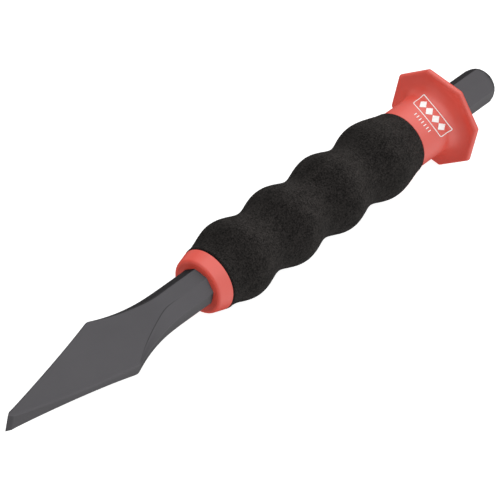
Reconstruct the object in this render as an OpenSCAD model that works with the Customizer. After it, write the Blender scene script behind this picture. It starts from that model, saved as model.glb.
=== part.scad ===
// Hand-guarded octagonal chisel with a narrow cutting edge set across the flats of a wide blade.
// X runs from the striking face to the cutting edge, Z is normal to the blade's broad faces,
// and the origin is the centre of the striking face.

/* [Bar] */
// Whole length, striking face to cutting edge
tool_len = 300; // [290:1:320]
// Size of the octagonal bar across its flats
bar_af = 16; // [14:0.5:18]
// Radius that rounds the edge of the striking end
head_round = 6.6; // [6.2:0.1:7]
// Length of bar that the striking end's rounding takes up
head_round_len = 6; // [4:0.1:6.1]

/* [Blade] */
// Width across the two rounded corners of the blade
blade_w = 29.8; // [26:0.1:32]
// Distance from the cutting edge back to the corners
blade_len = 60; // [54:0.1:64]
// Radius of the two corners
corner_r = 3; // [2:0.5:8]
// Length of the cutting edge, which is the blade's thickness there
edge_len = 9.5; // [7:0.1:11]
// Angle between the two bevels of the cutting edge
edge_angle = 68; // [55:1:75]
// Thickness of the tapered blade just behind the bevels
edge_stock = 2.8; // [2:0.1:3.4]
// Least thickness, at the waist behind the cutting edge
waist_t = 4.4; // [3:0.1:5]
// Distance from the cutting edge back to the waist
waist_len = 40.5; // [34:0.5:44]
// Radius of the hollow that runs from the waist back to the bar
hollow_r = 185; // [170:5:240]
// Radius that softens the start of the hollow
hollow_start_r = 25; // [10:1:40]
// Radius of the sweep that widens the bar into the blade
sweep_r = 90; // [80:1:100]
// Distance from the cutting edge back to where the bar's four diagonal faces start to sweep out
diagonal_len = 86.5; // [84:0.5:90]
// Radius of that sweep
diagonal_r = 80; // [72:1:86]

/* [Guard] */
// Distance from the striking face to the back of the guard
guard_x = 33.3; // [28:0.1:40]
// Size of the octagonal guard across its flats
guard_af = 44; // [40:1:50]
// Thickness of the guard's rim
rim_t = 3.2; // [3:0.1:5]
// Radius that rounds both edges of the rim
rim_round = 1.4; // [0.6:0.1:1.5]
// Outer radius of the guard's neck
neck_r = 13.8; // [13:0.1:14.2]
// Radius between the neck and the guard's face
flare_r = 6.7; // [5:0.1:6.7]
// Distance from the guard's back to the end of its neck
neck_len = 26; // [22:0.5:28]
// Outer radius of the sleeve under the grip
sleeve_r = 10.8; // [10:0.1:11.4]

/* [Grip] */
// Number of swells along the grip
swells = 4; // [3:1:4]
// Distance from one swell to the next
swell_pitch = 29.5; // [26:0.5:29.5]
// Radius of the grip at a swell
swell_r = 18; // [16.5:0.05:18.5]
// Radius of the grip at a valley
valley_r = 14.45; // [13.5:0.05:15.5]
// Length of grip from its neck end to the middle of the first swell
grip_lead = 18; // [16:0.5:20]
// Length of grip from the middle of the last swell to the collar
grip_tail = 17; // [16:0.5:18]

/* [Collar] */
// Radius of the collar where it meets the grip
collar_r = 14.1; // [13.6:0.1:14.6]
// Length of the collar
collar_len = 6.7; // [6:0.1:8]
// Radius of the collar's rounded nose
nose_r = 1.5; // [1.2:0.1:1.8]
// Radius from the tool's axis to the middle of that rounding
nose_at_r = 11.15; // [10.8:0.05:11.4]
// Gap between the collar's mouth and the bar's flats
mouth_gap = 0.15; // [0.1:0.05:0.3]

/* [Hidden] */
$fn = 96;

bar_half = bar_af / 2;
arc_steps = 16;
clear_of_all = 40;

// Bar and blade
head_corner_r = bar_half / cos(22.5) + 0.05;
head_mid_r = head_corner_r - head_round;
corner_x = tool_len - blade_len;
corner_y = blade_w / 2 - corner_r;
sweep_y = bar_half + sweep_r;
sweep_x = corner_x - sqrt(pow(sweep_r + corner_r, 2) - pow(sweep_y - corner_y, 2));
sweep_end = atan2(corner_y - sweep_y, corner_x - sweep_x);
bevel_x = tool_len - edge_stock / 2 / tan(edge_angle / 2);
taper_dir = atan2(edge_stock / 2 - corner_y, bevel_x - corner_x);
taper_dist = norm([bevel_x - corner_x, corner_y - edge_stock / 2]);
taper_normal = taper_dir + acos(corner_r / taper_dist);
waist_x = tool_len - waist_len;
waist_half = waist_t / 2;
flare_rise = (edge_len - waist_t) / 2;
fan_r = (pow(waist_len, 2) + pow(flare_rise, 2)) / 2 / flare_rise;
fan_end = -90 + asin(waist_len / fan_r);
hollow_z = waist_half + hollow_r;
start_z = bar_half - hollow_start_r;
start_x = waist_x - sqrt(pow(hollow_r + hollow_start_r, 2) - pow(hollow_z - start_z, 2));
start_end = atan2(hollow_z - start_z, waist_x - start_x);
diagonal_x = tool_len - diagonal_len;
diagonal_turn = 32;

// Guard, grip and collar
guard_half = guard_af / 2;
guard_corner_r = guard_half / cos(22.5);
face_x = guard_x + rim_t;
neck_end = guard_x + neck_len;
first_swell = neck_end + grip_lead;
last_swell = first_swell + (swells - 1) * swell_pitch;
grip_end = last_swell + grip_tail;
swell_mean = (swell_r + valley_r) / 2;
swell_half = (swell_r - valley_r) / 2;
lead_half_wave = grip_lead + 2;
grip_steps = 24;
collar_end = grip_end + collar_len;
nose_x = collar_end - nose_r;
socket_len = 3.8;
cone_dist = norm([nose_x - grip_end, collar_r - nose_at_r]);
cone_normal = atan2(collar_r - nose_at_r, grip_end - nose_x) - acos(nose_r / cone_dist);
mouth_back = 0.9;
nose_turn_in = -50;

// Points on an arc about [x, y] from angle a to angle b
function arc(x, y, r, a, b, steps = arc_steps) = [
  for (i = [0 : steps]) let (t = a + (b - a) * i / steps) [x + r * cos(t), y + r * sin(t)]
];

// A list without its first point, which the list before it already ends on
function rest(points) = [for (i = [1 : len(points) - 1]) points[i]];

// Half outline of the bar seen on the blade's broad face: straight, swept out, corner, taper
function plan_half() = concat(
  [[0, bar_half]],
  arc(sweep_x, sweep_y, sweep_r, -90, sweep_end),
  rest(arc(corner_x, corner_y, corner_r, sweep_end + 180, taper_normal)),
  [[bevel_x, edge_stock / 2]]
);

// Half outline of the bar seen from the side: straight, hollowed to the waist, fanned to the edge
function side_half() = concat(
  [[0, bar_half]],
  arc(start_x, start_z, hollow_start_r, 90, start_end),
  rest(arc(waist_x, hollow_z, hollow_r, start_end - 180, -90)),
  rest(arc(waist_x, waist_half + fan_r, fan_r, -90, fan_end))
);

// Half outline of the bar seen along one of its diagonal faces
function diagonal_half() = concat(
  [[0, bar_half]],
  arc(diagonal_x, bar_half + diagonal_r, diagonal_r, -90, -90 + diagonal_turn),
  [[tool_len, bar_half + diagonal_r * (1 - cos(diagonal_turn))]]
);

// Height of the grip's surface above the axis, at x along the tool
function grip_r(x) = swell_mean + swell_half * cos(
  x < first_swell ? 180 * (first_swell - x) / lead_half_wave
                  : 360 * (x - first_swell) / swell_pitch
);

// An outline mirrored about the X axis and extruded across it, its nose points on the axis
module both_sides(half, nose = []) {
  other = [for (i = [len(half) - 1 : -1 : 0]) [half[i].x, -half[i].y]];
  linear_extrude(height = 2 * clear_of_all, center = true)
    polygon(concat(half, nose, other));
}

// A solid with the same half outline over all four pairs of an octagon's flats
module octagonal(half) {
  intersection() {
    both_sides(half);
    rotate([45, 0, 0])
      both_sides(half);
    rotate([90, 0, 0])
      both_sides(half);
    rotate([135, 0, 0])
      both_sides(half);
  }
}

// A profile of [x, radius] points turned about the X axis
module turned(profile) {
  rotate([0, 90, 0])
    rotate_extrude()
      polygon([for (p = profile) [p.y, p.x]]);
}

// An octagonal prism along X, with its flats facing Y and Z
module octagon_bar(across_flats, from_x, to_x) {
  translate([from_x, 0, 0])
    rotate([0, 90, 0])
      rotate([0, 0, 22.5])
        cylinder(h = to_x - from_x, r = across_flats / 2 / cos(22.5), $fn = 8);
}

// Round rod along X
module rod(r, from_x, to_x) {
  translate([from_x, 0, 0])
    rotate([0, 90, 0])
      cylinder(h = to_x - from_x, r = r);
}

// One forging: striking end, octagonal bar, blade and cutting edge
module chisel_bar() {
  color("dimgray")
    intersection() {
      both_sides(plan_half(), [[tool_len, 0]]);
      rotate([90, 0, 0])
        both_sides(side_half());
      rotate([45, 0, 0])
        both_sides(diagonal_half());
      rotate([-45, 0, 0])
        both_sides(diagonal_half());
      turned(concat(
        [[0, 0]],
        arc(head_round_len, head_mid_r, head_round, 180 - acos(head_round_len / head_round), 90, 10),
        [[head_round_len, clear_of_all], [tool_len + 1, clear_of_all], [tool_len + 1, 0]]
      ));
    }
}

// Octagonal flange with rounded rim, flared neck, and the sleeve that carries the grip
module hand_guard() {
  rim_half = concat(
    arc(guard_x + rim_round, guard_half - rim_round, rim_round, 180, 90, 6),
    arc(face_x - rim_round, guard_half - rim_round, rim_round, 90, 0, 6),
    [[neck_end, guard_half - rim_round]]
  );
  color("tomato")
    difference() {
      union() {
        intersection() {
          turned(concat(
            [[guard_x, 0], [guard_x, guard_corner_r + 1], [face_x, guard_corner_r + 1]],
            arc(face_x + flare_r, neck_r + flare_r, flare_r, 180, 270),
            [[neck_end, neck_r], [neck_end, 0]]
          ));
          octagonal(rim_half);
        }
        rod(sleeve_r, neck_end - 1, grip_end + socket_len);
      }
      octagon_bar(bar_af, guard_x - 1, collar_end);
    }
}

// Closed-cell foam tube with finger swells, stretched over the sleeve
module foam_grip() {
  steps = round((grip_end - neck_end) / swell_pitch * grip_steps);
  color("black")
    difference() {
      turned(concat(
        [[neck_end, 0]],
        [for (i = [0 : steps]) let (x = neck_end + (grip_end - neck_end) * i / steps) [x, grip_r(x)]],
        [[grip_end, 0]]
      ));
      rod(sleeve_r, neck_end - 1, grip_end + 1);
    }
}

// Coned ring pressed on the end of the sleeve, which keeps the foam in place
module front_collar() {
  color("tomato")
    difference() {
      turned(concat(
        [[grip_end, 0], [grip_end, collar_r]],
        arc(nose_x, nose_at_r, nose_r, cone_normal, nose_turn_in, 10),
        [[collar_end - mouth_back, bar_half - 1], [collar_end - mouth_back, 0]]
      ));
      rod(sleeve_r, grip_end - 1, grip_end + socket_len);
      octagon_bar(bar_af + 2 * mouth_gap, grip_end - 1, collar_end + 1);
    }
}

chisel_bar();
hand_guard();
foam_grip();
front_collar();
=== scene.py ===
"""Looks of a hand-guarded chisel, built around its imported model: metres, in the model's own frame.

X runs from the striking face to the cutting edge, and Z is normal to the blade's broad faces.
"""
import math

import bpy
import numpy as np
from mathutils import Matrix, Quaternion, Vector, noise


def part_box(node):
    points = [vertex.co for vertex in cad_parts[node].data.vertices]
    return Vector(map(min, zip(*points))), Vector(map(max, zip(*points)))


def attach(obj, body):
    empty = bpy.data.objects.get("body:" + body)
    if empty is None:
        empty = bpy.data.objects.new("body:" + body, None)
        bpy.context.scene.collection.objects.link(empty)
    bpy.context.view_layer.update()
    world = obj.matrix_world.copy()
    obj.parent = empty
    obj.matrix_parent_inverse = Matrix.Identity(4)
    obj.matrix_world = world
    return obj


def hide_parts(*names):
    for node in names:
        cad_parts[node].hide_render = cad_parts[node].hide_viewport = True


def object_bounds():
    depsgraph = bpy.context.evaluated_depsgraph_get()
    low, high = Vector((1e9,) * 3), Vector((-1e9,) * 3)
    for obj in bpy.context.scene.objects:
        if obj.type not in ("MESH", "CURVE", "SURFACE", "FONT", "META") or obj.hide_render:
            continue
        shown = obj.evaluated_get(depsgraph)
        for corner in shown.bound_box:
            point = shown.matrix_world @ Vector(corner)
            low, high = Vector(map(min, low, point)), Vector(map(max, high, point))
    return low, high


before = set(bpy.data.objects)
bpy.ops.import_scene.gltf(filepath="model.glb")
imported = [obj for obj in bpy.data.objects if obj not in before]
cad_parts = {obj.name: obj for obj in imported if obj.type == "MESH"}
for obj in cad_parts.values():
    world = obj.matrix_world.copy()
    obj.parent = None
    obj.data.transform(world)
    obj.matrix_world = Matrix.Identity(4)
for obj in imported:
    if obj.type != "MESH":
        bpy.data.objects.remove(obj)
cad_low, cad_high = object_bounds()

MM = 0.001
SECTOR = math.radians(45)

# Bar: how finely its profile is measured and smoothed
PROFILE_STEP = 0.1 * MM
RING_EVERY = 4
DENSE_ENDS = 3 * MM
MOST_SOFTENING = 0.9 * MM
SOFTENING_PER_LENGTH = 0.08

# Bar: arrises, and the crease left by forging, which also carries painted shade
ARRIS_ROUND = 0.45 * MM
BLADE_ROUND = 0.8 * MM
ARRIS_STEPS = 7
FORGED_LENGTH = 84 * MM
FORGED_FADE = 14 * MM
CREASE_DEPTH = 0.16 * MM
CREASE_FADE = 1.6 * MM
CREASE_SPREAD = 0.6
LIMIT_SHARPNESS = 60

# Guard
RIM_THICKNESS = 3.2 * MM
RIM_ROUND = 1.4 * MM
RIM_CORNER_ROUND = 1.1 * MM
NECK_RADIUS = 13.8 * MM
FLARE_RADIUS = 6.7 * MM
SLEEVE_RADIUS = 10.8 * MM
BORE_GAP = 0.05 * MM
BORE_CORNER = 0.3 * MM
BORE_LEAD = 0.4 * MM
BORE_LEAD_DEPTH = 0.5 * MM

# Grip
GRIP_GRAIN = 0.42 * MM
GRIP_TAIL = 17 * MM
GRIP_SOFTENING = 2.2 * MM
GRIP_END_ROUND = 1.3 * MM
CELL_SIZES = (0.9 * MM, 0.45 * MM)
WAVE_SIZE = 9 * MM
GRIP_SHIFT = 0.45 * MM
GRIP_SHIFT_START = 8 * MM
GRIP_SHIFT_FADE = 82 * MM

# Collar
REAR_ROUND = 0.35 * MM
REAR_INSET = 0.42 * MM
NOSE_ROUND = 1.5 * MM
NOSE_INSET = 2.95 * MM
SOCKET_DEPTH = 3.8 * MM
MOUTH_BACK = 0.55 * MM
NOSE_TURN_IN = -28

# Print
PRINT_FROM_BACK = 13.4 * MM
PRINT_ANGLE = math.radians(68)
PRINT_HALF = 12 * MM
PRINT_BOW = 3.6 * MM
PRINT_THICKNESS = 0.08 * MM
PRINT_STEP = 0.3 * MM
FRAME_WIDTH, FRAME_HEIGHT, FRAME_CORNER = 20.8 * MM, 7.4 * MM, 0.8 * MM
FRAME_LINE = 0.42 * MM
DIAMONDS = 4
DIAMOND_PITCH = 4.3 * MM
DIAMOND_WIDTH, DIAMOND_HEIGHT = 2 * MM, 2.6 * MM
TICKS = 7
TICK_PITCH = 1.6 * MM
TICK_START, TICK_END = 5.9 * MM, 7.7 * MM
TICK_LINE = 0.4 * MM

# Studio: levels of grey by how far a direction points to the bright side, and by how far along X
FLOOR_GLOW = 0.9
FLOOR_HALF = 3
FLOOR_GAP = 0.1 * MM
LIGHT_DISTANCE = 3
WORLD_STRENGTH = 1.07
WORLD_BRIGHT_SIDE = (-0.1, 0.6, 0.6)
WORLD_LEVELS = [
    (-0.8, 0.02),
    (-0.5, 0.04),
    (-0.2, 0.38),
    (-0.04, 0.7),
    (0.25, 1.0),
    (0.6, 1.0),
    (0.85, 1.10),
]
ALONG_LEVELS = [(-1.0, 0.12), (-0.72, 1.0), (0.2, 1.0), (0.7, 0.25)]


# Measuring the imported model

def half_widths(node, stations):
    """How far a node's section reaches at each station: along Y, Z, their diagonal, and any way."""
    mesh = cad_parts[node].data
    points = np.array([v.co for v in mesh.vertices])
    edges = np.array([e.vertices for e in mesh.edges])
    start, end = points[edges[:, 0]], points[edges[:, 1]]
    swap = start[:, 0] > end[:, 0]
    start[swap], end[swap] = end[swap], start[swap]
    reach = []
    for x in stations:
        crossing = (start[:, 0] <= x) & (end[:, 0] >= x) & (end[:, 0] > start[:, 0])
        a, b = start[crossing], end[crossing]
        y, z = (a + (b - a) * ((x - a[:, 0]) / (b[:, 0] - a[:, 0]))[:, None])[:, 1:].T
        reach.append((y.max(), z.max(), (y + z).max() / math.sqrt(2), np.hypot(y, z).max()))
    return np.array(reach).T


def softened(x, values, reach):
    """A running mean of values over x, reach to each side, which rounds a faceted profile."""
    total = np.concatenate([[0], np.cumsum((values[1:] + values[:-1]) / 2 * np.diff(x))])
    width = np.maximum(2 * reach, 1e-9)
    mean = (np.interp(x + reach, x, total) - np.interp(x - reach, x, total)) / width
    return np.where(reach > 1e-6, mean, values)


# Building meshes

def mesh_object(name, points, faces, material):
    mesh = bpy.data.meshes.new(name)
    mesh.from_pydata([tuple(p) for p in points], [], faces)
    mesh.validate()
    mesh.update()
    mesh.polygons.foreach_set("use_smooth", [True] * len(mesh.polygons))
    piece = bpy.data.objects.new(name, mesh)
    piece.data.materials.append(material)
    bpy.context.scene.collection.objects.link(piece)
    return piece


def lofted(name, rings, material, closed):
    """Quads between rings of equally many points.

    closed joins the last ring to the first. Otherwise both ends are capped.
    """
    count, around = len(rings), len(rings[0])
    points = np.concatenate(rings)
    faces = []
    for i in range(count if closed else count - 1):
        here, there = i * around, (i + 1) % count * around
        for j in range(around):
            k = (j + 1) % around
            faces.append((here + j, here + k, there + k, there + j))
    if not closed:
        faces.append(tuple(range(around))[::-1])
        faces.append(tuple(range((count - 1) * around, count * around)))
    piece = mesh_object(name, points, faces, material)
    weigh = piece.modifiers.new("normals", "WEIGHTED_NORMAL")
    weigh.weight = 80
    return piece


def arc(x, r, radius, start, end, steps):
    """Points [x, r] on an arc, from angle start to angle end in degrees."""
    angles = np.radians(np.linspace(start, end, steps + 1))
    return np.stack([x + radius * np.cos(angles), r + radius * np.sin(angles)], 1)


def around_angles(steps=22, bunching=2.0):
    """Angles right round the axis, bunched at the corners of an octagon with flats facing Y and Z."""
    share = np.linspace(-1, 1, steps, endpoint=False)
    in_sector = np.sign(share) * (1 - (1 - np.abs(share)) ** bunching) * SECTOR / 2
    return np.concatenate([in_sector + k * SECTOR for k in range(8)])


def octagon_reach(angles, half, corner):
    """Distance from the centre to a regular octagon with rounded corners, at each angle."""
    off_flat = (angles + SECTOR / 2) % SECTOR - SECTOR / 2
    off_corner = SECTOR / 2 - np.abs(off_flat)
    centre = (half - corner) / math.cos(SECTOR / 2)
    half_angle = math.atan2(corner * math.sin(SECTOR / 2), centre + corner * math.cos(SECTOR / 2))
    inside = np.maximum(corner ** 2 - (centre * np.sin(off_corner)) ** 2, 0)
    on_corner = centre * np.cos(off_corner) + np.sqrt(inside)
    return np.where(off_corner < half_angle, on_corner, half / np.cos(off_flat))


def ring_at(x, reach, angles):
    reach = np.broadcast_to(reach, angles.shape)
    return np.stack([np.full(len(angles), x), reach * np.cos(angles), reach * np.sin(angles)], 1)


# Materials

def new_material(name):
    material = bpy.data.materials.new(name)
    material.use_nodes = True
    return material, material.node_tree, material.node_tree.nodes["Principled BSDF"]


def add_node(tree, kind, inputs=None, **settings):
    """A shader node. inputs gives a value or another node's socket for each named input."""
    made = tree.nodes.new(kind)
    for key, value in settings.items():
        setattr(made, key, value)
    for key, value in (inputs or {}).items():
        if isinstance(value, bpy.types.NodeSocket):
            tree.links.new(value, made.inputs[key])
        else:
            made.inputs[key].default_value = value
    return made


def grain(tree, size, detail=3.0, roughness=0.5):
    """Noise from 0 to 1 with features of that size in metres."""
    place = add_node(tree, "ShaderNodeTexCoord").outputs["Object"]
    settings = {"Vector": place, "Scale": 1 / size, "Detail": detail, "Roughness": roughness}
    return add_node(tree, "ShaderNodeTexNoise", settings).outputs["Fac"]


def spread(tree, value, low, high):
    """Maps the middle of a noise, 0.3 to 0.7, to low and high."""
    inputs = {"Value": value, "From Min": 0.3, "From Max": 0.7, "To Min": low, "To Max": high}
    return add_node(tree, "ShaderNodeMapRange", inputs).outputs["Result"]


def scaled(tree, value, factor, offset):
    """value times factor plus offset, each a number or a socket."""
    inputs = {0: value, 1: factor, 2: offset}
    return add_node(tree, "ShaderNodeMath", inputs, operation="MULTIPLY_ADD").outputs["Value"]


def two_tone(tree, factor, dark, light):
    """A colour that goes from dark to light over the middle of a noise, 0.3 to 0.7."""
    ramp = add_node(tree, "ShaderNodeValToRGB", {"Fac": factor})
    ramp.color_ramp.elements[0].position = 0.3
    ramp.color_ramp.elements[0].color = (*dark, 1)
    ramp.color_ramp.elements[1].position = 0.7
    ramp.color_ramp.elements[1].color = (*light, 1)
    return ramp.outputs["Color"]


def bumped(tree, shader, height, distance, strength):
    inputs = {"Height": height, "Distance": distance, "Strength": strength}
    bump = add_node(tree, "ShaderNodeBump", inputs)
    tree.links.new(bump.outputs["Normal"], shader.inputs["Normal"])


def steel_material():
    """Satin dark grey finish over forged steel: a faint cloud in the grey, and a very fine grain.

    A point attribute darkens its base colour with painted shade along the forging crease.
    """
    material, tree, shader = new_material("dark_steel")
    cloud = grain(tree, 14 * MM, 4)
    fine = grain(tree, 0.35 * MM, 2)
    grey = two_tone(tree, cloud, (0.089, 0.0855, 0.092), (0.097, 0.0935, 0.100))
    # Painted shade: the grey is mixed toward a dark grey along the forging crease
    crease_and_shade = add_node(tree, "ShaderNodeAttribute", attribute_name="crease_and_shade").outputs["Fac"]
    inputs = {"Fac": crease_and_shade, "Color1": grey, "Color2": (0.045, 0.045, 0.047, 1)}
    color = add_node(tree, "ShaderNodeMixRGB", inputs).outputs["Color"]
    tree.links.new(color, shader.inputs["Base Color"])
    tree.links.new(spread(tree, cloud, 0.32, 0.38), shader.inputs["Roughness"])
    shader.inputs["Metallic"].default_value = 0.72
    bumped(tree, shader, fine, 0.02 * MM, 0.25)
    return material


def plastic_material():
    """Satin coral red plastic with the soft texture of a spark-eroded mould."""
    material, tree, shader = new_material("red_plastic")
    cloud = grain(tree, 9 * MM, 3)
    fine = grain(tree, 0.30 * MM, 2)
    color = two_tone(tree, cloud, (0.640, 0.058, 0.035), (0.670, 0.064, 0.039))
    tree.links.new(color, shader.inputs["Base Color"])
    tree.links.new(spread(tree, cloud, 0.32, 0.38), shader.inputs["Roughness"])
    shader.inputs["Specular IOR Level"].default_value = 1.0
    bumped(tree, shader, fine, 0.03 * MM, 0.30)
    return material


def foam_material():
    """Matt black closed-cell foam: cut cells that catch the light as speckle, over a soft mottle."""
    material, tree, shader = new_material("black_foam")
    place = add_node(tree, "ShaderNodeTexCoord").outputs["Object"]
    inputs = {"Vector": place, "Scale": 1 / (0.6 * MM)}
    cells = add_node(tree, "ShaderNodeTexVoronoi", inputs).outputs["Distance"]
    speckle = grain(tree, 0.75 * MM, 3, 0.75)
    mottle = grain(tree, 5 * MM, 3)
    mix = scaled(tree, speckle, 1.35, scaled(tree, mottle, 0.3, -0.325))
    color = two_tone(tree, mix, (0.003, 0.0027, 0.0024), (0.0265, 0.0236, 0.0220))
    tree.links.new(color, shader.inputs["Base Color"])
    shader.inputs["Roughness"].default_value = 0.9
    shader.inputs["Specular IOR Level"].default_value = 0.15
    bumped(tree, shader, cells, 0.25 * MM, 0.6)
    return material


def ink_material():
    """White pad-printed ink, a little thin in places."""
    material, tree, shader = new_material("white_ink")
    cloud = grain(tree, 0.6 * MM, 3)
    color = two_tone(tree, cloud, (0.88, 0.86, 0.84), (0.96, 0.95, 0.94))
    tree.links.new(color, shader.inputs["Base Color"])
    shader.inputs["Roughness"].default_value = 0.5
    return material


def floor_material():
    """Pale paper floor, which glows a little so that it stays even right to its edges."""
    material, tree, shader = new_material("floor")
    cloud = grain(tree, 200 * MM, 2)
    color = two_tone(tree, cloud, (0.40, 0.40, 0.40), (0.42, 0.42, 0.42))
    tree.links.new(color, shader.inputs["Base Color"])
    shader.inputs["Roughness"].default_value = 0.9
    shader.inputs["Emission Color"].default_value = (1, 1, 1, 1)
    shader.inputs["Emission Strength"].default_value = FLOOR_GLOW
    return material


# Pieces

def eased(value, start, length):
    """0 before start, 1 from start + length on, and a smooth step between."""
    t = min(max((value - start) / length, 0), 1)
    return t * t * (3 - 2 * t)


def bar_ring(x, half_y, half_z, half_diagonal, reach):
    """One section of the bar: the eight sides that the CAD bar has there, with rounded arrises.

    Also gives each point's share of the forging crease on the neck's broad faces, for its depth and
    painted shade.
    """
    from_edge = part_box("chisel_bar")[1].x - x
    forged = 1 - eased(from_edge, FORGED_LENGTH, FORGED_FADE)
    round_here = min(ARRIS_ROUND + (BLADE_ROUND - ARRIS_ROUND) * forged, 0.4 * half_y, 0.5 * half_z)
    y, z = half_y - round_here, half_z - round_here
    full_diagonal = (y + z) / math.sqrt(2)
    crease_and_shade = forged * eased(full_diagonal - half_diagonal + round_here, 0, CREASE_FADE)
    diagonal = min(half_diagonal - round_here, full_diagonal) * math.sqrt(2)
    corners = [(y, diagonal - y), (diagonal - z, z), (z - diagonal, z), (-y, diagonal - y)]
    corners += [(-a, -b) for a, b in corners]
    arrises, creased = [], []
    for k, (cy, cz) in enumerate(corners):
        at = np.linspace(0, 1, ARRIS_STEPS)
        beside_broad_face = k % 4 in (1, 2)
        weight = crease_and_shade * np.sin(math.pi * at) ** CREASE_SPREAD * beside_broad_face
        angle = (k + at) * SECTOR
        out = round_here - CREASE_DEPTH * weight
        arrises.append(np.column_stack([cy + out * np.cos(angle), cz + out * np.sin(angle)]))
        creased.append(weight)
    outline, crease_shade_weights = [], []
    for k, arris in enumerate(arrises):
        after = arrises[(k + 1) % 8][0]
        outline.append(arris)
        outline.append([arris[-1] + (after - arris[-1]) * s for s in (0.25, 0.5, 0.75)])
        crease_shade_weights += [*creased[k], 0, 0, 0]
    outline = np.concatenate(outline)
    over = np.hypot(*outline.T) / reach
    outline *= ((1 + over ** LIMIT_SHARPNESS) ** (-1 / LIMIT_SHARPNESS))[:, None]
    return np.column_stack([np.full(len(outline), x), outline]), crease_shade_weights


def steel_bar(material):
    """The forging, its profiles measured on the CAD bar. Rings are sparse where it runs straight."""
    low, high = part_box("chisel_bar")
    x = np.linspace(low.x, high.x, round((high.x - low.x) / PROFILE_STEP) + 1)
    y, z, diagonal, reach = half_widths("chisel_bar", np.clip(x, low.x + 1e-7, high.x - 1e-7))
    to_end = np.minimum(x - low.x, high.x - x)
    soft = np.minimum(MOST_SOFTENING, SOFTENING_PER_LENGTH * to_end)
    profiles = []
    for values in (y, z, diagonal, reach):
        for _ in range(2):
            values = softened(x, values, soft)
        profiles.append(values)
    y, z, diagonal, reach = profiles
    bend = np.zeros(len(x))
    for values in profiles:
        bend[1:-1] += np.abs(values[2:] - 2 * values[1:-1] + values[:-2])
    near_end = to_end < DENSE_ENDS
    curved = bend > 1e-9
    fading = (high.x - x > FORGED_LENGTH) & (high.x - x < FORGED_LENGTH + FORGED_FADE)
    kept = near_end | ((curved | fading) & (np.arange(len(x)) % RING_EVERY == 0))
    kept[0] = kept[-2] = True
    kept[-1] = False
    sections = np.column_stack([x, y, z, diagonal, reach])[kept]
    rings, crease_shade_weights = zip(*(bar_ring(*section) for section in sections))
    centre = np.array([low.x, 0, 0])
    face = [centre + (rings[0] - centre) * s for s in (0.25, 0.5, 0.75, 0.92)]
    piece = lofted("steel_bar", [*face, *rings], material, closed=False)
    # Each point's weight of the painted shade laid along the forging crease
    crease_and_shade = piece.data.attributes.new("crease_and_shade", "FLOAT", "POINT")
    crease_and_shade.data.foreach_set("value", np.concatenate([np.zeros(sum(map(len, face))), *crease_shade_weights]))
    return piece


def guard_radius(x):
    """Radius of the guard's flare and neck at x along the tool."""
    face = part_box("hand_guard")[0].x + RIM_THICKNESS
    run = np.clip(face + FLARE_RADIUS - x, 0, FLARE_RADIUS)
    return NECK_RADIUS + FLARE_RADIUS - math.sqrt(FLARE_RADIUS ** 2 - run ** 2)


def bore_reach(angles):
    """The octagonal hole of the guard and the collar, just clear of the bar."""
    bar_half = half_widths("chisel_bar", [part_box("hand_guard")[0].x])[0][0]
    return octagon_reach(angles, bar_half + BORE_GAP, BORE_CORNER)


def moulded_guard(material):
    """Octagonal flange, flared neck and sleeve, as one closed loft that ends in its own bore."""
    low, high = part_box("hand_guard")
    half, back = high.y, low.x
    face = back + RIM_THICKNESS
    neck_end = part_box("foam_grip")[0].x
    angles = around_angles()
    bore = bore_reach(angles)

    def rim(inset):
        return octagon_reach(angles, half - inset, RIM_CORNER_ROUND)

    inner, outer = bore + BORE_LEAD, rim(RIM_ROUND)
    rings = [ring_at(back + BORE_LEAD_DEPTH, bore, angles), ring_at(back, inner, angles)]
    rings += [ring_at(back, inner + (outer - inner) * s, angles) for s in (0.3, 0.6, 0.9, 1)]
    for x, inset in arc(back + RIM_ROUND, RIM_ROUND, RIM_ROUND, 180, 270, 8)[1:]:
        rings.append(ring_at(x, rim(inset), angles))
    for x, inset in arc(face - RIM_ROUND, RIM_ROUND, RIM_ROUND, -90, 0, 8):
        rings.append(ring_at(x, rim(inset), angles))
    flare_start = NECK_RADIUS + FLARE_RADIUS
    rings.append(ring_at(face, (rim(RIM_ROUND) + flare_start) / 2, angles))
    for x, r in arc(face + FLARE_RADIUS, flare_start, FLARE_RADIUS, 180, 270, 18):
        rings.append(ring_at(x, r, angles))
    neck_start = face + FLARE_RADIUS
    for s in (0.25, 0.5, 0.75, 0.98, 1):
        rings.append(ring_at(neck_start + (neck_end - neck_start) * s, NECK_RADIUS, angles))
    rings += [ring_at(x, SLEEVE_RADIUS, angles) for x in (neck_end, high.x)]
    rings += [ring_at(x, bore, angles) for x in (high.x, neck_end, face)]
    return lofted("moulded_guard", rings, material, closed=True)


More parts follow.
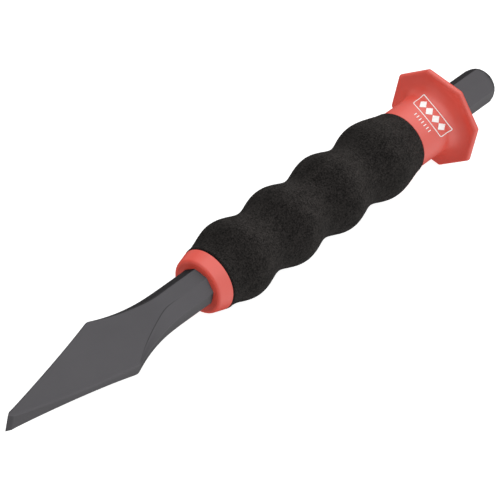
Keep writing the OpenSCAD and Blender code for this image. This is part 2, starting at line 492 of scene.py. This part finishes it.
def foam_sleeve(material):
    """The swelled grip, its surface broken up by the cut cells of the foam.

    It sits a little off the axis near the collar.
    """
    low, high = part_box("foam_grip")
    x = np.linspace(low.x, high.x, round((high.x - low.x) / GRIP_GRAIN) + 1)
    radius = half_widths("foam_grip", np.clip(x, low.x + 1e-7, high.x - 1e-7))[3]
    from_end = np.minimum(x - low.x, high.x - x)
    soft = np.minimum(GRIP_SOFTENING, 0.5 * from_end)
    radius = softened(x, softened(x, radius, soft), soft)
    in_rounding = np.maximum(GRIP_END_ROUND - from_end, 0)
    drop = GRIP_END_ROUND - np.sqrt(GRIP_END_ROUND ** 2 - in_rounding ** 2)
    angles = np.linspace(0, math.tau, round(math.tau * high.y / GRIP_GRAIN), endpoint=False)
    rings = []
    for here, reach, rounding in zip(x, radius, drop):
        ring = ring_at(here, reach - rounding, angles)
        from_collar = high.x - here
        aside = GRIP_SHIFT * eased(from_collar, 0, GRIP_SHIFT_START)
        aside *= 1 - eased(from_collar, GRIP_SHIFT_START, GRIP_SHIFT_FADE)
        for point in ring:
            place = Vector(point)
            fine = noise.noise(place / CELL_SIZES[0]) + 0.6 * noise.noise(place / CELL_SIZES[1])
            broad = noise.noise(place / WAVE_SIZE)
            point[1:] *= 1 + (0.045 * fine + 0.10 * broad - 0.10) * MM / reach
            point[1] -= aside
        rings.append(ring)
    rings.append(ring_at(high.x, SLEEVE_RADIUS, angles))
    rings.append(ring_at(low.x, SLEEVE_RADIUS, angles))
    return lofted("foam_sleeve", rings, material, closed=True)


def collar_ring(material):
    """The coned ring, from its rear edge over the rounded nose into its mouth and socket."""
    low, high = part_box("front_collar")
    back, rim_radius = low.x, high.y
    nose_x, nose_r = high.x - NOSE_ROUND, rim_radius - NOSE_INSET
    away = math.hypot(nose_x - back, rim_radius - nose_r)
    to_rim = math.atan2(rim_radius - nose_r, back - nose_x)
    cone = math.degrees(to_rim - math.acos(NOSE_ROUND / away))
    angles = around_angles()
    mouth = bore_reach(angles)
    rear = arc(back + REAR_ROUND, rim_radius - REAR_INSET, REAR_ROUND, 150, cone, 4)
    nose = arc(nose_x, nose_r, NOSE_ROUND, cone, NOSE_TURN_IN, 12)
    profile = [(back, rim_radius - REAR_ROUND), *rear, *nose]
    rings = [ring_at(x, r, angles) for x, r in profile]
    lip_x, lip_r = profile[-1]
    mouth_x = high.x - MOUTH_BACK
    for s in (0.35, 0.7, 0.9):
        rings.append(ring_at(lip_x + (mouth_x - lip_x) * s, lip_r + (mouth - lip_r) * s, angles))
    rings.append(ring_at(mouth_x, mouth, angles))
    rings.append(ring_at(back + SOCKET_DEPTH, mouth, angles))
    rings.append(ring_at(back + SOCKET_DEPTH, SLEEVE_RADIUS, angles))
    rings.append(ring_at(back, SLEEVE_RADIUS, angles))
    return lofted("collar_ring", rings, material, closed=True)


def on_guard(across, along):
    """The guard's surface at a distance across, round its neck, and along, from the mark's middle."""
    bow = PRINT_BOW * (across / PRINT_HALF) ** 2
    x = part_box("hand_guard")[0].x + PRINT_FROM_BACK + along - bow
    angle = PRINT_ANGLE - across / NECK_RADIUS
    r = guard_radius(x)
    return (x, r * math.cos(angle), r * math.sin(angle))


def printed_strip(path, width, material, name):
    """A line of ink of that width along a path of [across, along] points."""
    path = np.array(path)
    closed = np.allclose(path[0], path[-1])
    run = path[:-1] if closed else path
    before, after = np.roll(run, 1, 0), np.roll(run, -1, 0)
    if not closed:
        before[0], after[-1] = run[0], run[-1]
    direction = after - before
    direction /= np.hypot(*direction.T)[:, None]
    side = np.stack([-direction[:, 1], direction[:, 0]], 1) * width / 2
    points = []
    for left, right in zip(run + side, run - side):
        points += [on_guard(*left), on_guard(*right)]
    faces = []
    for i in range(len(run) if closed else len(run) - 1):
        left_here, right_here = 2 * i, 2 * i + 1
        left_next, right_next = (2 * i + 2) % len(points), (2 * i + 3) % len(points)
        faces.append((left_here, right_here, right_next, left_next))
    return inked(name, points, faces, material)


def inked(name, points, faces, material):
    """A thin film of ink."""
    piece = mesh_object(name, points, faces, material)
    thicken = piece.modifiers.new("ink", "SOLIDIFY")
    thicken.thickness = PRINT_THICKNESS
    thicken.offset = 0
    return piece


def rounded_frame(width, height, corner, steps=10):
    """A closed rounded rectangle of [across, along] points, about the middle."""
    points = []
    for k, (sx, sy) in enumerate([(1, 1), (-1, 1), (-1, -1), (1, -1)]):
        cx, cy = sx * (width / 2 - corner), sy * (height / 2 - corner)
        for angle in np.linspace(k * math.pi / 2, (k + 1) * math.pi / 2, steps):
            points.append((cx + corner * math.cos(angle), cy + corner * math.sin(angle)))
    points.append(points[0])
    return resampled(points)


def resampled(points):
    """The same path with its points evenly spaced."""
    points = np.array(points)
    run = np.concatenate([[0], np.cumsum(np.hypot(*np.diff(points, axis=0).T))])
    at = np.linspace(0, run[-1], round(run[-1] / PRINT_STEP) + 1)
    return np.stack([np.interp(at, run, points[:, 0]), np.interp(at, run, points[:, 1])], 1)


def diamond(across, steps=8):
    """A filled diamond, across from the mark's middle, as a grid of points on the guard."""
    points, faces = [], []
    for i in range(steps + 1):
        for j in range(steps + 1):
            u, v = i / steps - 0.5, j / steps - 0.5
            points.append(on_guard(across + (u - v) * DIAMOND_WIDTH, (u + v) * DIAMOND_HEIGHT))
    for i in range(steps):
        for j in range(steps):
            here = i * (steps + 1) + j
            faces.append((here, here + 1, here + steps + 2, here + steps + 1))
    return points, faces


def printed_mark(material):
    """A plain frame round a row of diamonds, over a row of short ticks."""
    outline = rounded_frame(FRAME_WIDTH, FRAME_HEIGHT, FRAME_CORNER)
    pieces = [printed_strip(outline, FRAME_LINE, material, "mark_frame")]
    points, faces = [], []
    for k in range(DIAMONDS):
        more, quads = diamond((k - (DIAMONDS - 1) / 2) * DIAMOND_PITCH)
        faces += [tuple(i + len(points) for i in quad) for quad in quads]
        points += more
    pieces.append(inked("mark_diamonds", points, faces, material))
    for k in range(TICKS):
        across = (k - (TICKS - 1) / 2) * TICK_PITCH
        path = resampled([(across, TICK_START), (across, TICK_END)])
        pieces.append(printed_strip(path, TICK_LINE, material, f"mark_tick_{k}"))
    return pieces


# Floor, light and camera

def floor_plane():
    """A wide floor that the guard's lowest flat and the grip's last swell both rest on."""
    guard_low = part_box("hand_guard")[0]
    grip_low, grip_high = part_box("foam_grip")
    edge = Vector((guard_low.x + RIM_THICKNESS / 2, 0, guard_low.z))
    swell = Vector((grip_high.x - GRIP_TAIL, 0, grip_low.z))
    slope = (swell.z - edge.z) / (swell.x - edge.x)
    points = []
    for sx, sy in ((-1, -1), (1, -1), (1, 1), (-1, 1)):
        rise = sx * FLOOR_HALF * slope - FLOOR_GAP
        points.append((edge.x + sx * FLOOR_HALF, sy * FLOOR_HALF, edge.z + rise))
    piece = mesh_object("floor", points, [(0, 1, 2, 3)], floor_material())
    piece.visible_glossy = False
    return piece


def gathered(name, pieces):
    """A collection of the only pieces that a light is to reach."""
    group = bpy.data.collections.new(name)
    for piece in pieces:
        group.objects.link(piece)
    return group


def area_light(name, direction, size, power, lit=None, sheen=False):
    """A soft square light, seen in no picture. It reaches the pieces in lit, or everything.

    A sheen light shows in their gloss alone, and any other light doesn't show in it.
    """
    light = bpy.data.lights.new(name, "AREA")
    light.shape = "SQUARE"
    light.size = size
    light.energy = power
    holder = bpy.data.objects.new(name, light)
    direction = Vector(direction).normalized()
    holder.location = (cad_low + cad_high) / 2 + direction * LIGHT_DISTANCE
    holder.rotation_mode = "QUATERNION"
    holder.rotation_quaternion = (-direction).to_track_quat("-Z", "Y")
    holder.visible_camera = False
    holder.visible_glossy = sheen
    holder.visible_diffuse = not sheen
    if lit:
        holder.light_linking.receiver_collection = lit
    bpy.context.scene.collection.objects.link(holder)


def graded(tree, value, levels):
    """A grey that follows value, which runs from -1 to 1, through levels of (value, grey)."""
    share = add_node(tree, "ShaderNodeMapRange", {"Value": value, "From Min": -1, "From Max": 1})
    ramp = add_node(tree, "ShaderNodeValToRGB", {"Fac": share.outputs["Result"]})
    stops = ramp.color_ramp.elements
    while len(stops) < len(levels):
        stops.new(0.5)
    for stop, (at, grey) in zip(stops, levels):
        stop.position = (at + 1) / 2
        stop.color = (grey, grey, grey, 1)
    return ramp.outputs["Color"]


def studio_world():
    """Soft light from all over one side of the room, which falls away to near dark opposite it.

    It dims towards both ends of X as well.
    """
    world = bpy.data.worlds.new("studio")
    world.use_nodes = True
    tree = world.node_tree
    direction = add_node(tree, "ShaderNodeTexCoord").outputs["Generated"]
    towards = Vector(WORLD_BRIGHT_SIDE).normalized()
    inputs = {0: direction, 1: towards}
    across = add_node(tree, "ShaderNodeVectorMath", inputs, operation="DOT_PRODUCT").outputs["Value"]
    forward = add_node(tree, "ShaderNodeSeparateXYZ", {"Vector": direction}).outputs["X"]
    inputs = {0: graded(tree, forward, ALONG_LEVELS), 1: WORLD_STRENGTH}
    level = add_node(tree, "ShaderNodeMath", inputs, operation="MULTIPLY").outputs["Value"]
    background = tree.nodes["Background"]
    tree.links.new(graded(tree, across, WORLD_LEVELS), background.inputs["Color"])
    tree.links.new(level, background.inputs["Strength"])
    bpy.context.scene.world = world


def camera_at(target, azimuth, elevation, roll, distance, lens):
    """A camera that looks at target. Angles are in degrees, and azimuth goes from +X towards +Y."""
    azimuth, elevation, roll = map(math.radians, (azimuth, elevation, roll))
    level = math.cos(elevation)
    back = Vector((level * math.cos(azimuth), level * math.sin(azimuth), math.sin(elevation)))
    data = bpy.data.cameras.new("camera")
    data.lens = lens
    data.clip_start, data.clip_end = 0.05, 20
    camera = bpy.data.objects.new("camera", data)
    camera.location = Vector(target) + back * distance
    camera.rotation_mode = "QUATERNION"
    camera.rotation_quaternion = (-back).to_track_quat("-Z", "Y") @ Quaternion((0, 0, 1), roll)
    bpy.context.scene.collection.objects.link(camera)
    bpy.context.scene.camera = camera


steel = steel_material()
plastic = plastic_material()
foam = foam_material()
ink = ink_material()
bar = steel_bar(steel)
guard = moulded_guard(plastic)
grip = foam_sleeve(foam)
collar = collar_ring(plastic)
mark = printed_mark(ink)

for piece, node, slot in [
    (bar, "chisel_bar", "dark_steel"),
    (guard, "hand_guard", "red_plastic"),
    (grip, "foam_grip", "black_foam"),
    (collar, "front_collar", "red_plastic"),
]:
    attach(piece, "root")
    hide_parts(node)
for piece in mark:
    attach(piece, "root")

# The collar's dark mouth and the foam stay out of the steel's reflections
for piece in (collar, grip):
    piece.visible_glossy = False

floor_plane()
studio_world()
plastic_pieces = gathered("plastic_pieces", [guard, collar, *mark])
foam_pieces = gathered("foam_pieces", [grip])
area_light("key", (-0.6, -0.5, 0.6), size=2.4, power=38)
area_light("fill", (0.75, -0.45, 0.45), size=2.4, power=34, lit=plastic_pieces)
area_light("top_sheen", (-0.4, 0.12, 0.9), size=4.6, power=33, lit=plastic_pieces, sheen=True)
area_light("side_sheen", (-0.33, -0.93, 0.19), size=3.6, power=14, lit=plastic_pieces, sheen=True)
area_light("rake", (-0.93, 0.0, 0.36), size=2.4, power=110, lit=foam_pieces)
camera_at(
    target=(0.15705, 0.0003, 0.00017),
    azimuth=32.285,
    elevation=45.88,
    roll=13.05,
    distance=1.3786,
    lens=241.0,
)
bpy.context.scene.view_settings.view_transform = "Standard"
